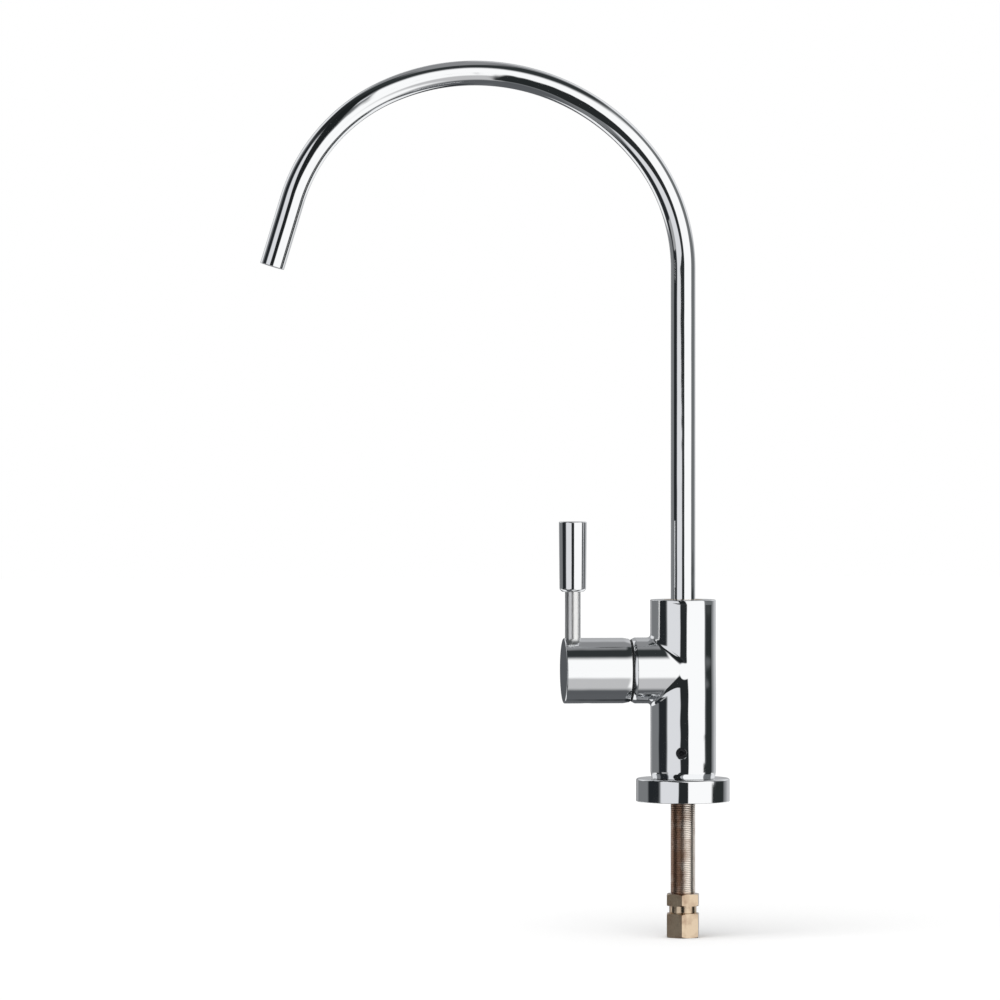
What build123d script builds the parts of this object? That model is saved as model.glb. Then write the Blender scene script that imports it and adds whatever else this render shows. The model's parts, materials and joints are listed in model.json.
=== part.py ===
from build123d import *
import os
from math import cos, radians, sin

# A swan-neck drinking-water tap with a quarter-turn side valve, in millimetres.
# The origin is the centre of the base flange's underside, at the level of the worktop.
# +Z is up, the spout and the valve reach towards -X, and the user stands at -Y.

# Tap body: a T of two nearly equal cylinders
body_diameter = 26.6
body_height = 72.6
body_edge = 0.4
stub_step = 0.1
stub_reach = 21.2
stub_chamfer_length = 1.3
stub_chamfer_depth = 0.7
junction_blend = 1.2
waterway_diameter = 6.0

# Base flange and its gasket
flange_diameter = 38.0
flange_height = 9.4
flange_edge = 0.8
flange_rim = 2.2
gasket_thickness = 3.0
shank_hole_play = 0.2

# Threaded shank below the body
shank_diameter = 10.0
shank_drop = 37.6
shank_engagement = 17.0
shank_seal_section = 1.2
spigot_diameter = 8.0
spigot_length = 6.0
spigot_end_gap = 0.5

# Compression connector, nut and ferrule for the supply tube
tube_hole_diameter = 6.6
connector_bore_diameter = 4.8
hex_flats = 12.7
hex_turn = 19.0
collar_height = 4.9
neck_diameter = 11.1
neck_length = 8.0
nut_gap = 3.0
nut_edge = 0.7
tube_socket_depth = 4.5
ferrule_diameter = 8.6
ferrule_band = 1.4
nut_land = 2.4

# Spout tube, its three bends and its straight tip
spout_diameter = 10.0
spout_wall = 1.0
spout_straight = 134.4
rise_radius = 73.8
rise_angle = 39.5
crown_radius = 87.6
crown_angle = 74.9
fall_radius = 70.6
fall_angle = 48.7
tip_length = 28.0

# Spout bush, which turns in the top of the body
socket_diameter = 16.0
socket_depth = 15.5
swivel_play = 0.15
glide_thickness = 1.0
ledge_width = 1.0
plenum_depth = 3.0
waterway_wall = 2.3
outlet_diameter = 4.0
outlet_inset = 0.4
outlet_breakthrough = 1.0
tube_seat_depth = 12.0
bush_land = 1.2
o_ring_groove_width = 1.8
o_ring_groove_depth = 1.35
o_ring_play = 0.1
retaining_groove_width = 3.4

# Grub screws: front one on the shank, rear one in the bush, lower one in the handle
grub_diameter = 4.0
grub_recess = 0.8
grub_socket_flats = 2.0
grub_socket_depth = 1.8
front_screw_height = 10.6
front_screw_turn = 10.5
dog_diameter = 2.6
dog_side_play = 0.3

# Ceramic-disc cartridge, measured along the valve from the body's axis
seat_reach = 4.0
seal_thickness = 2.0
seal_proud = 1.0
seal_bore_diameter = 9.2
disc_diameter = 12.8
disc_thickness = 2.4
disc_play = 0.1
port_circle_diameter = 6.8
port_width = 2.8
port_sweep = 30.0
key_width = 3.0
key_play = 0.1
fork_gap = 2.6
fork_width = 2.6
fork_depth = 1.2
fork_inset = 3.6
window_land = 0.4
window_width = 6.0
housing_wall = 0.8
chamber_gap = 0.7
mouth_step = 1.0
head_play = 0.8
head_thickness = 4.0
neck_of_housing_diameter = 12.4
neck_of_housing_length = 6.1
housing_seal_section = 1.6
housing_seal_inset = 1.4
face_gap = 0.02

# Spindle, its seals and the quarter-turn stop
spindle_diameter = 8.0
spindle_play = 0.05
spindle_collar = 2.0
spindle_collar_play = 0.3
washer_thickness = 0.6
spindle_seal_section = 1.0
spindle_seal_inset = 3.0
spindle_seal_pitch = 4.0
spline_teeth = 20
spline_depth = 0.4
spline_play = 0.05
stop_height = 1.2
stop_block_angle = 50.0
stop_tab_angle = 39.0
stop_width = 1.5
stop_play = 0.15
stop_plate = 1.2
clip_thickness = 0.8
clip_groove_depth = 0.7
clip_width = 2.4
clip_opening = 5.0

# Handle: a hollow cap, a lever stem and a grip
seam_ring_thickness = 0.9
seam_play = 0.1
cap_length = 26.7
cap_wall = 1.5
cap_end_room = 1.4
cap_edge = 0.5
cap_rim_length = 1.8
cap_rim_depth = 0.5
spindle_engagement = 7.0
spindle_end_gap = 0.5
lever_inset = 3.8
stem_diameter = 6.4
stem_length = 19.8
stem_counterbore = 1.0
stem_thread_diameter = 5.0
stem_thread_length = 5.5
grip_thread_length = 8.0
thread_end_gap = 0.6
grip_length = 28.4
grip_foot_diameter = 10.8
grip_top_diameter = 11.3
grip_bevel = 1.0
grip_top_edge = 0.4

# Heights and radii that follow from the sizes above
body_radius = body_diameter / 2
body_base = flange_height
body_top = body_base + body_height
stub_radius = body_radius - stub_step
waterway_radius = waterway_diameter / 2
shank_radius = shank_diameter / 2
shank_top = body_base + shank_engagement
shank_end = -shank_drop
spigot_radius = spigot_diameter / 2
gasket_radius = flange_diameter / 2 - flange_rim
hole_in_base = shank_radius + shank_hole_play

# Radii inside the valve
disc_radius = disc_diameter / 2
cavity_radius = disc_radius + disc_play
housing_radius = cavity_radius + housing_wall
chamber_radius = housing_radius + chamber_gap
mouth_radius = chamber_radius + mouth_step
spindle_radius = spindle_diameter / 2
bearing_radius = spindle_radius + spindle_play
neck_of_housing_radius = neck_of_housing_diameter / 2
cap_radius = body_radius
cap_bore = cap_radius - cap_wall
head_corner_radius = cap_bore - head_play

# Heights down the top of the body: the spout's socket, the plenum below it and the valve
socket_radius = socket_diameter / 2
socket_floor = body_top - socket_depth
plenum_radius = socket_radius - ledge_width
plenum_floor = socket_floor - plenum_depth
valve_height = plenum_floor - waterway_wall - chamber_radius
outlet_radius = outlet_diameter / 2
outlet_reach = plenum_radius - outlet_radius - outlet_inset
outlet_end = valve_height + chamber_radius - outlet_breakthrough

# Places along the valve, from the seat outwards
fixed_disc_reach = seat_reach + seal_thickness
moving_disc_reach = fixed_disc_reach + disc_thickness + face_gap
fork_reach = moving_disc_reach + disc_thickness
collar_reach = fork_reach + fork_gap
washer_reach = collar_reach + spindle_collar + face_gap
cavity_end = washer_reach + washer_thickness
housing_front = seat_reach + seal_proud
mouth_start = collar_reach + window_land
head_end = stub_reach + head_thickness
housing_end = head_end + neck_of_housing_length
stop_end = housing_end + stop_height
stop_ring_reach = stop_end + stop_play
clip_reach = stop_ring_reach + stop_plate
cap_start = stub_reach + seam_ring_thickness + seam_play
cap_end = cap_start + cap_length
cavity_floor = clip_reach + clip_thickness + cap_end_room
spindle_end = cavity_floor + spindle_engagement
lever_reach = cap_end - lever_inset
handle_screw_reach = cavity_floor + spindle_engagement / 2

# Planes and axis of the valve: across it, and a half section whose axes are reach and radius
valve_axis = Axis((0, 0, valve_height), (-1, 0, 0))
valve_section = Plane(origin=(0, 0, valve_height), x_dir=(-1, 0, 0), z_dir=(0, 1, 0))
spout_section = Plane(origin=(0, 0, 0), x_dir=(-1, 0, 0), z_dir=(0, 1, 0))


def across_valve(reach):
    """The plane square to the valve at this distance from the body's axis, facing outwards."""
    return Plane(origin=(-reach, 0, valve_height), x_dir=(0, -1, 0), z_dir=(-1, 0, 0))


def facing_user(height, turn):
    """An upright plane on the body's axis that faces the user, turned this far towards the valve."""
    across, outwards = cos(radians(turn)), sin(radians(turn))
    return Plane(origin=(0, 0, height), x_dir=(across, -outwards, 0), z_dir=(-outwards, -across, 0))


def serrations(radius):
    """The corners of a ring of fine teeth whose tips lie on this radius."""
    corners = []
    for step in range(2 * spline_teeth):
        reach = radius - spline_depth * (step % 2)
        angle = radians(180 * step / spline_teeth)
        corners.append((reach * cos(angle), reach * sin(angle)))
    return corners


def seal_section(radius):
    """The section of a fitted O-ring, pressed flat where it meets its groove and its bore."""
    return RegularPolygon(radius, 8, major_radius=False, rotation=22.5)


# Base flange: a turned disc with a recess underneath for the gasket
with BuildPart() as base_flange:
    with BuildSketch():
        Circle(flange_diameter / 2)
        Circle(hole_in_base, mode=Mode.SUBTRACT)
    extrude(amount=flange_height)
    fillet(base_flange.edges().group_by(Axis.Z)[-1].sort_by(SortBy.RADIUS)[-1], flange_edge)
    with BuildSketch():
        Circle(gasket_radius)
    extrude(amount=gasket_thickness, mode=Mode.SUBTRACT)

# Base gasket: a flat rubber ring that fills the recess and meets the worktop
with BuildPart() as base_gasket:
    with BuildSketch():
        Circle(gasket_radius)
        Circle(hole_in_base, mode=Mode.SUBTRACT)
    extrude(amount=gasket_thickness)

# Places of the spout's bush, its grooves and the screws in the body
bush_radius = socket_radius - swivel_play
bush_foot = socket_floor + glide_thickness + face_gap
lower_groove = bush_foot + bush_land
upper_groove = lower_groove + o_ring_groove_width + bush_land
retaining_groove = upper_groove + o_ring_groove_width + bush_land
retaining_height = retaining_groove + retaining_groove_width / 2
front_height = body_base + front_screw_height
grub_radius = grub_diameter / 2

# Body casting: outside form first, then the sockets and the waterways
with BuildPart() as body_casting:
    with BuildSketch(Plane.XY.offset(body_base)):
        Circle(body_radius)
    extrude(amount=body_height)
    with BuildSketch(across_valve(0)):
        Circle(stub_radius)
    extrude(amount=stub_reach)
    junction = body_casting.edges().filter_by(GeomType.BSPLINE)
    fillet(junction, junction_blend)
    chamfer(body_casting.edges().group_by(Axis.Z)[-1], body_edge)
    chamfer(body_casting.edges().group_by(Axis.Z)[0], body_edge)
    chamfer(
        body_casting.faces().sort_by(Axis.X)[0].edges(),
        stub_chamfer_depth,
        stub_chamfer_length,
        reference=body_casting.faces().sort_by(Axis.X)[0],
    )
    with BuildSketch(Plane.XY.offset(body_base)):
        Circle(shank_radius)
    extrude(amount=shank_engagement, mode=Mode.SUBTRACT)
    with BuildSketch(Plane.XY.offset(shank_top)):
        Circle(waterway_radius)
    extrude(amount=valve_height + waterway_radius - shank_top, mode=Mode.SUBTRACT)
    with BuildSketch(across_valve(0)):
        Circle(waterway_radius)
    extrude(amount=seat_reach, mode=Mode.SUBTRACT)
    with BuildSketch(across_valve(seat_reach)):
        Circle(chamber_radius)
    extrude(amount=stub_reach - seat_reach, mode=Mode.SUBTRACT)
    with BuildSketch(across_valve(mouth_start)):
        Circle(mouth_radius)
    extrude(amount=stub_reach - mouth_start, mode=Mode.SUBTRACT)
    with BuildSketch(Plane.XY.offset(socket_floor)):
        Circle(socket_radius)
    extrude(amount=socket_depth, mode=Mode.SUBTRACT)
    with BuildSketch(Plane.XY.offset(plenum_floor)):
        Circle(plenum_radius)
    extrude(amount=plenum_depth, mode=Mode.SUBTRACT)
    with BuildSketch(Plane.XY.offset(outlet_end)):
        with Locations((-outlet_reach, 0)):
            Circle(outlet_radius)
    extrude(amount=plenum_floor - outlet_end, mode=Mode.SUBTRACT)
    with BuildSketch(facing_user(front_height, front_screw_turn)):
        Circle(grub_radius)
    extrude(amount=body_radius, mode=Mode.SUBTRACT)
    with BuildSketch(facing_user(retaining_height, 180)):
        Circle(grub_radius)
    extrude(amount=body_radius, mode=Mode.SUBTRACT)

# Threaded shank: a hollow stud, turned down at its top for a seal and counterbored below
shank_seal_radius = shank_seal_section / 2
shank_seat_radius = shank_radius - shank_seal_section
with BuildPart() as threaded_shank:
    with BuildSketch(Plane.XZ):
        with BuildLine():
            Polyline(
                (waterway_radius, shank_top),
                (shank_seat_radius, shank_top),
                (shank_seat_radius, shank_top - shank_seal_section),
                (shank_radius, shank_top - shank_seal_section),
                (shank_radius, shank_end),
                (spigot_radius, shank_end),
                (spigot_radius, shank_end + spigot_length + spigot_end_gap),
                (waterway_radius, shank_end + spigot_length + spigot_end_gap),
                close=True,
            )
        make_face()
    revolve(axis=Axis.Z)

# Shank O-ring: it closes the joint between the shank and the body's socket
with BuildPart() as shank_o_ring:
    with BuildSketch(Plane.XZ):
        with Locations((shank_radius - shank_seal_radius, shank_top - shank_seal_radius)):
            seal_section(shank_seal_radius)
    revolve(axis=Axis.Z)

# Shank grub screw: its tip bears on the shank, so that the shank can't unscrew
with BuildPart() as shank_grub_screw:
    with BuildSketch(facing_user(front_height, front_screw_turn).offset(shank_radius)):
        Circle(grub_radius)
    extrude(amount=body_radius - grub_recess - shank_radius)
    with BuildSketch(facing_user(front_height, front_screw_turn).offset(body_radius - grub_recess)):
        RegularPolygon(grub_socket_flats / 2, 6, major_radius=False)
    extrude(amount=-grub_socket_depth, mode=Mode.SUBTRACT)

# Inlet connector: a spigot in the shank, a hexagon collar and a threaded neck for the nut
collar_bottom = shank_end - collar_height
neck_radius = neck_diameter / 2
neck_end = collar_bottom - neck_length
tube_hole_radius = tube_hole_diameter / 2
ferrule_radius = ferrule_diameter / 2
cone_height = ferrule_radius - tube_hole_radius
cone_top = neck_end + cone_height
nut_top = collar_bottom - nut_gap
nut_cone_top = neck_end - ferrule_band
nut_land_top = nut_cone_top - cone_height
nut_bottom = nut_land_top - nut_land
hexagon_plane = Plane.XY.rotated((0, 0, hex_turn))
with BuildPart() as inlet_connector:
    with BuildSketch(hexagon_plane.offset(collar_bottom)):
        RegularPolygon(hex_flats / 2, 6, major_radius=False)
    extrude(amount=collar_height)
    with BuildSketch(Plane.XY.offset(shank_end)):
        Circle(spigot_radius)
    extrude(amount=spigot_length)
    with BuildSketch(Plane.XY.offset(neck_end)):
        Circle(neck_radius)
    extrude(amount=neck_length)
    with BuildSketch(Plane.XZ):
        with BuildLine():
            Polyline(
                (0, shank_end + spigot_length),
                (connector_bore_diameter / 2, shank_end + spigot_length),
                (connector_bore_diameter / 2, cone_top + tube_socket_depth),
                (tube_hole_radius, cone_top + tube_socket_depth),
                (tube_hole_radius, cone_top),
                (ferrule_radius, neck_end),
                (0, neck_end),
                close=True,
            )
        make_face()
    revolve(axis=Axis.Z, mode=Mode.SUBTRACT)

# Ferrule: the nut squeezes it between two cones on to the supply tube
with BuildPart() as ferrule:
    with BuildSketch(Plane.XZ):
        with BuildLine():
            Polyline(
                (tube_hole_radius, cone_top),
                (ferrule_radius, neck_end),
                (ferrule_radius, nut_cone_top),
                (tube_hole_radius, nut_land_top),
                close=True,
            )
        make_face()
    revolve(axis=Axis.Z)

# Compression nut: hexagon outside with bevelled corners, thread and cone inside
nut_corner = hex_flats / 2 / cos(radians(30))
with BuildPart() as compression_nut:
    with BuildSketch(hexagon_plane.offset(nut_bottom)):
        RegularPolygon(hex_flats / 2, 6, major_radius=False)
    extrude(amount=nut_top - nut_bottom)
    with BuildSketch(Plane.XZ):
        with BuildLine():
            Polyline(
                (nut_corner - nut_edge, nut_top),
                (nut_corner, nut_top - nut_edge / 2),
                (nut_corner, nut_bottom + nut_edge / 2),
                (nut_corner - nut_edge, nut_bottom),
                (tube_hole_radius, nut_bottom),
                (tube_hole_radius, nut_land_top),
                (ferrule_radius, nut_cone_top),
                (neck_radius, nut_cone_top),
                (neck_radius, nut_top),
                close=True,
            )
        make_face()
    revolve(axis=Axis.Z, mode=Mode.INTERSECT)

# Cartridge housing: hexagon head on the stub, screwed barrel with outflow windows, neck with stops
housing_seal_radius = housing_seal_section / 2
housing_seal_reach = stub_reach - housing_seal_inset
with BuildPart() as cartridge_housing:
    with BuildSketch(valve_section):
        with BuildLine():
            Polyline(
                (housing_front, cavity_radius),
                (housing_front, housing_radius),
                (mouth_start, housing_radius),
                (mouth_start, mouth_radius),
                (housing_seal_reach - housing_seal_radius, mouth_radius),
                (housing_seal_reach - housing_seal_radius, mouth_radius - housing_seal_section),
                (housing_seal_reach + housing_seal_radius, mouth_radius - housing_seal_section),
                (housing_seal_reach + housing_seal_radius, mouth_radius),
                (stub_reach, mouth_radius),
                (stub_reach, neck_of_housing_radius),
                (housing_end, neck_of_housing_radius),
                (housing_end, bearing_radius),
                (cavity_end, bearing_radius),
                (cavity_end, cavity_radius),
                close=True,
            )
        make_face()
    revolve(axis=valve_axis)
    with BuildSketch(across_valve(stub_reach)):
        RegularPolygon(head_corner_radius, 6)
        Circle(bearing_radius, mode=Mode.SUBTRACT)
    extrude(amount=head_thickness)
    with BuildSketch(across_valve(housing_end)) as stop_blocks:
        for turn in (0, 180):
            with BuildLine():
                inner = CenterArc(
                    (0, 0), neck_of_housing_radius - stop_width, turn - stop_block_angle / 2, stop_block_angle
                )
                outer = CenterArc((0, 0), neck_of_housing_radius, turn - stop_block_angle / 2, stop_block_angle)
                Line(inner @ 0, outer @ 0)
                Line(inner @ 1, outer @ 1)
            make_face()
    extrude(amount=stop_height)
    for turn in (90, 210, 330):
        with BuildSketch(valve_section.rotated((turn, 0, 0))):
            with Locations(((fork_reach + collar_reach) / 2, cavity_radius)):
                Rectangle(fork_gap - 2 * window_land, 2 * (chamber_gap + housing_wall))
        extrude(amount=window_width / 2, both=True, mode=Mode.SUBTRACT)
    with BuildSketch(across_valve(housing_front)):
        Rectangle(key_width + 2 * key_play, 2 * housing_radius)
    extrude(amount=fixed_disc_reach + disc_thickness - housing_front, mode=Mode.SUBTRACT)

# Housing O-ring: it lies in the groove under the head and closes the mouth of the stub
with BuildPart() as housing_o_ring:
    with BuildSketch(valve_section):
        with Locations((housing_seal_reach, mouth_radius - housing_seal_radius)):
            seal_section(housing_seal_radius)
    revolve(axis=valve_axis)

# Seat seal: the rubber ring between the body's seat and the fixed disc
with BuildPart() as seat_seal:
    with BuildSketch(across_valve(seat_reach)):
        Circle(disc_radius)
        Circle(seal_bore_diameter / 2, mode=Mode.SUBTRACT)
    extrude(amount=seal_thickness)

# Middle line of a kidney port in the ceramic discs
port_arc = CenterArc((0, 0), port_circle_diameter / 2, -port_sweep / 2, port_sweep)

# Fixed disc: two kidney ports, and two keys that hold it in the housing's slots
with BuildPart() as fixed_disc:
    with BuildSketch(across_valve(fixed_disc_reach)):
        Circle(disc_radius)
        Rectangle(key_width, 2 * housing_radius)
        SlotArc(port_arc, port_width, mode=Mode.SUBTRACT)
        SlotArc(port_arc, port_width, rotation=180, mode=Mode.SUBTRACT)
    extrude(amount=disc_thickness)

# Moving disc: the same ports a quarter turn away, and two notches for the spindle's fork
with BuildPart() as moving_disc:
    with BuildSketch(across_valve(moving_disc_reach)):
        Circle(disc_radius)
        SlotArc(port_arc, port_width, rotation=90, mode=Mode.SUBTRACT)
        SlotArc(port_arc, port_width, rotation=270, mode=Mode.SUBTRACT)
    extrude(amount=disc_thickness)
    with BuildSketch(across_valve(fork_reach)):
        Rectangle(2 * disc_radius, fork_width + 2 * key_play)
        Rectangle(2 * fork_inset, fork_width + 2 * key_play, mode=Mode.SUBTRACT)
    extrude(amount=-fork_depth, mode=Mode.SUBTRACT)

# Thrust washer: the spindle's collar runs against it
with BuildPart() as thrust_washer:
    with BuildSketch(across_valve(washer_reach)):
        Circle(disc_radius)
        Circle(bearing_radius + disc_play, mode=Mode.SUBTRACT)
    extrude(amount=washer_thickness)

# Spindle: a two-pronged fork, a collar, two seal grooves, a clip groove and a toothed end
collar_radius = cavity_radius - spindle_collar_play
spindle_seal_radius = spindle_seal_section / 2
spindle_groove_half = spindle_seal_radius + spindle_play
spindle_seal_reaches = [cavity_end + spindle_seal_inset, cavity_end + spindle_seal_inset + spindle_seal_pitch]
clip_groove_radius = spindle_radius - clip_groove_depth
with BuildPart() as spindle:
    with BuildSketch(across_valve(collar_reach)):
        Circle(collar_radius)
    extrude(amount=spindle_collar)
    with BuildSketch(across_valve(collar_reach)):
        Circle(spindle_radius)
    extrude(amount=stop_ring_reach - collar_reach)
    with BuildSketch(across_valve(stop_ring_reach)):
        with BuildLine():
            Polyline(*serrations(spindle_radius), close=True)
        make_face()
    extrude(amount=spindle_end - stop_ring_reach)
    for reach in spindle_seal_reaches:
        with BuildSketch(across_valve(reach - spindle_groove_half)):
            Circle(spindle_radius)
            Circle(spindle_radius - spindle_seal_section, mode=Mode.SUBTRACT)
        extrude(amount=2 * spindle_groove_half, mode=Mode.SUBTRACT)
    with BuildSketch(across_valve(clip_reach)):
        Circle(spindle_radius)
        Circle(clip_groove_radius, mode=Mode.SUBTRACT)
    extrude(amount=clip_thickness, mode=Mode.SUBTRACT)
    with BuildSketch(across_valve(collar_reach)):
        Rectangle(2 * disc_radius, fork_width)
        Rectangle(2 * fork_inset, fork_width, mode=Mode.SUBTRACT)
        Circle(collar_radius, mode=Mode.INTERSECT)
    extrude(amount=-(fork_gap + fork_depth))

# Spindle O-rings: two rings that seal the spindle in the housing's neck
with BuildPart() as spindle_o_rings:
    for reach in spindle_seal_reaches:
        with BuildSketch(valve_section):
            with Locations((reach, spindle_radius - spindle_seal_radius)):
                seal_section(spindle_seal_radius)
        revolve(axis=valve_axis)

# Stop ring: toothed on to the spindle, its two tabs run between the housing's stop blocks
with BuildPart() as stop_ring:
    with BuildSketch(across_valve(stop_ring_reach)):
        Circle(neck_of_housing_radius)
        with BuildLine():
            Polyline(*serrations(spindle_radius + spline_play), close=True)
        make_face(mode=Mode.SUBTRACT)
    extrude(amount=stop_plate)
    with BuildSketch(across_valve(stop_ring_reach)):
        for turn in (135, 315):
            with BuildLine():
                inner = CenterArc(
                    (0, 0), neck_of_housing_radius - stop_width, turn - stop_tab_angle / 2, stop_tab_angle
                )
                outer = CenterArc((0, 0), neck_of_housing_radius, turn - stop_tab_angle / 2, stop_tab_angle)
                Line(inner @ 0, outer @ 0)
                Line(inner @ 1, outer @ 1)
            make_face()
    extrude(amount=-stop_height)

# Spindle clip: an open spring ring in the spindle's groove
with BuildPart() as spindle_clip:
    with BuildSketch(across_valve(clip_reach)):
        Circle(clip_groove_radius + clip_width)
        Circle(clip_groove_radius, mode=Mode.SUBTRACT)
        with Locations((0, -clip_groove_radius - clip_width / 2)):
            Rectangle(clip_opening, 2 * clip_width, mode=Mode.SUBTRACT)
    extrude(amount=clip_thickness)

# Seam ring: the dark plastic ring between the stub's end and the handle's rim
with BuildPart() as seam_ring:
    with BuildSketch(across_valve(stub_reach)):
        Circle(stub_radius - stub_chamfer_depth)
        Circle(head_corner_radius + seam_play, mode=Mode.SUBTRACT)
    extrude(amount=seam_ring_thickness)

# Handle cap: a cup over the cartridge, its thick end bored for the toothed spindle and the lever
lever_seat = cap_radius - stem_counterbore
stem_radius = stem_diameter / 2
stem_thread_radius = stem_thread_diameter / 2
lever_plane = Plane(origin=(-lever_reach, 0, valve_height), x_dir=(1, 0, 0), z_dir=(0, 0, 1))
handle_screw_plane = Plane(
    origin=(-handle_screw_reach, 0, valve_height), x_dir=(1, 0, 0), z_dir=(0, 0, -1)
)
with BuildPart() as handle_cap:
    with BuildSketch(valve_section):
        with BuildLine():
            Polyline(
                (cap_start, cap_bore),
                (cap_start, cap_radius - cap_rim_depth),
                (cap_start + cap_rim_length, cap_radius),
                (cap_end - cap_edge, cap_radius),
                (cap_end, cap_radius - cap_edge),
                (cap_end, 0),
                (cavity_floor, 0),
                (cavity_floor, cap_bore),
                close=True,
            )
        make_face()
    revolve(axis=valve_axis)
    with BuildSketch(across_valve(cavity_floor)):
        with BuildLine():
            Polyline(*serrations(spindle_radius + spline_play), close=True)
        make_face()
    extrude(amount=spindle_engagement + spindle_end_gap, mode=Mode.SUBTRACT)
    with BuildSketch(lever_plane.offset(lever_seat)):
        Circle(stem_radius)
    extrude(amount=stem_counterbore, mode=Mode.SUBTRACT)
    with BuildSketch(lever_plane.offset(lever_seat)):
        Circle(stem_thread_radius)
    extrude(amount=-(stem_thread_length + thread_end_gap), mode=Mode.SUBTRACT)
    with BuildSketch(handle_screw_plane):
        Circle(grub_radius)
    extrude(amount=cap_radius, mode=Mode.SUBTRACT)

# Handle grub screw: it comes up from below on to the spindle's teeth
with BuildPart() as handle_grub_screw:
    with BuildSketch(handle_screw_plane.offset(spindle_radius)):
        Circle(grub_radius)
    extrude(amount=cap_radius - grub_recess - spindle_radius)
    with BuildSketch(handle_screw_plane.offset(cap_radius - grub_recess)):
        RegularPolygon(grub_socket_flats / 2, 6, major_radius=False)
    extrude(amount=-grub_socket_depth, mode=Mode.SUBTRACT)

# Lever stem: a plain rod with a thread at each end
with BuildPart() as lever_stem:
    with BuildSketch(lever_plane.offset(lever_seat)):
        Circle(stem_radius)
    extrude(amount=stem_length)
    with BuildSketch(lever_plane.offset(lever_seat - stem_thread_length)):
        Circle(stem_thread_radius)
    extrude(amount=stem_thread_length + stem_length + grip_thread_length)

# Lever grip: a slightly tapered barrel, bevelled at its foot, screwed on to the stem
grip_foot = lever_seat + stem_length
with BuildPart() as lever_grip:
    with BuildSketch(Plane(origin=(-lever_reach, 0, valve_height), x_dir=(1, 0, 0), z_dir=(0, -1, 0))):
        with BuildLine():
            Polyline(
                (stem_thread_radius, grip_foot),
                (grip_foot_diameter / 2 - grip_bevel, grip_foot),
                (grip_foot_diameter / 2, grip_foot + grip_bevel),
                (grip_top_diameter / 2, grip_foot + grip_length - grip_top_edge),
                (grip_top_diameter / 2 - grip_top_edge, grip_foot + grip_length),
                (0, grip_foot + grip_length),
                (0, grip_foot + grip_thread_length + thread_end_gap),
                (stem_thread_radius, grip_foot + grip_thread_length + thread_end_gap),
                close=True,
            )
        make_face()
    revolve(axis=Axis((-lever_reach, 0, valve_height), (0, 0, 1)))

# Spout glide ring: the bush turns on it
with BuildPart() as spout_glide_ring:
    with BuildSketch(Plane.XY.offset(socket_floor)):
        Circle(bush_radius)
        Circle(plenum_radius, mode=Mode.SUBTRACT)
    extrude(amount=glide_thickness)

# Spout bush: brazed on the tube's foot, with two seal grooves and one for the rear screw
spout_radius = spout_diameter / 2
spout_bore = spout_radius - spout_wall
tube_foot = body_top - tube_seat_depth
groove_floor = bush_radius - o_ring_groove_depth
with BuildPart() as spout_bush:
    with BuildSketch(Plane.XY.offset(bush_foot)):
        Circle(bush_radius)
    extrude(amount=body_top - bush_foot)
    with BuildSketch(Plane.XY.offset(bush_foot)):
        Circle(spout_bore)
    extrude(amount=body_top - bush_foot, mode=Mode.SUBTRACT)
    with BuildSketch(Plane.XY.offset(tube_foot)):
        Circle(spout_radius)
    extrude(amount=tube_seat_depth, mode=Mode.SUBTRACT)
    for height, width in (
        (lower_groove, o_ring_groove_width),
        (upper_groove, o_ring_groove_width),
        (retaining_groove, retaining_groove_width),
    ):
        with BuildSketch(Plane.XY.offset(height)):
            Circle(bush_radius)
            Circle(groove_floor, mode=Mode.SUBTRACT)
        extrude(amount=width, mode=Mode.SUBTRACT)

# Spout O-rings: one in each of the bush's lower grooves
spout_seal_radius = (socket_radius - o_ring_play - groove_floor) / 2
with BuildPart() as spout_o_ring_lower:
    with BuildSketch(Plane.XZ):
        with Locations((groove_floor + spout_seal_radius, lower_groove + o_ring_groove_width / 2)):
            seal_section(spout_seal_radius)
    revolve(axis=Axis.Z)

with BuildPart() as spout_o_ring_upper:
    with BuildSketch(Plane.XZ):
        with Locations((groove_floor + spout_seal_radius, upper_groove + o_ring_groove_width / 2)):
            seal_section(spout_seal_radius)
    revolve(axis=Axis.Z)

# Spout grub screw: its dog point runs in the bush's groove and keeps the spout from lifting out
dog_end = groove_floor + dog_side_play
screw_shoulder = socket_radius + dog_side_play
with BuildPart() as spout_grub_screw:
    with BuildSketch(facing_user(retaining_height, 180).offset(screw_shoulder)):
        Circle(grub_radius)
    extrude(amount=body_radius - grub_recess - screw_shoulder)
    with BuildSketch(facing_user(retaining_height, 180).offset(dog_end)):
        Circle(dog_diameter / 2)
    extrude(amount=screw_shoulder - dog_end)
    with BuildSketch(facing_user(retaining_height, 180).offset(body_radius - grub_recess)):
        RegularPolygon(grub_socket_flats / 2, 6, major_radius=False)
    extrude(amount=-grub_socket_depth, mode=Mode.SUBTRACT)

# Spout tube: one bent tube, straight up, three bends over the crown, and a straight tip
with BuildPart() as spout_tube:
    with BuildLine(spout_section) as spout_path:
        rise = Line((0, tube_foot), (0, body_top + spout_straight))
        first = JernArc(rise @ 1, rise % 1, rise_radius, -rise_angle)
        second = JernArc(first @ 1, first % 1, crown_radius, -crown_angle)
        third = JernArc(second @ 1, second % 1, fall_radius, -fall_angle)
        Line(third @ 1, third @ 1 + (third % 1) * tip_length)
    with BuildSketch(Plane.XY.offset(tube_foot)):
        Circle(spout_radius)
        Circle(spout_bore, mode=Mode.SUBTRACT)
    sweep(path=spout_path.line)

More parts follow.
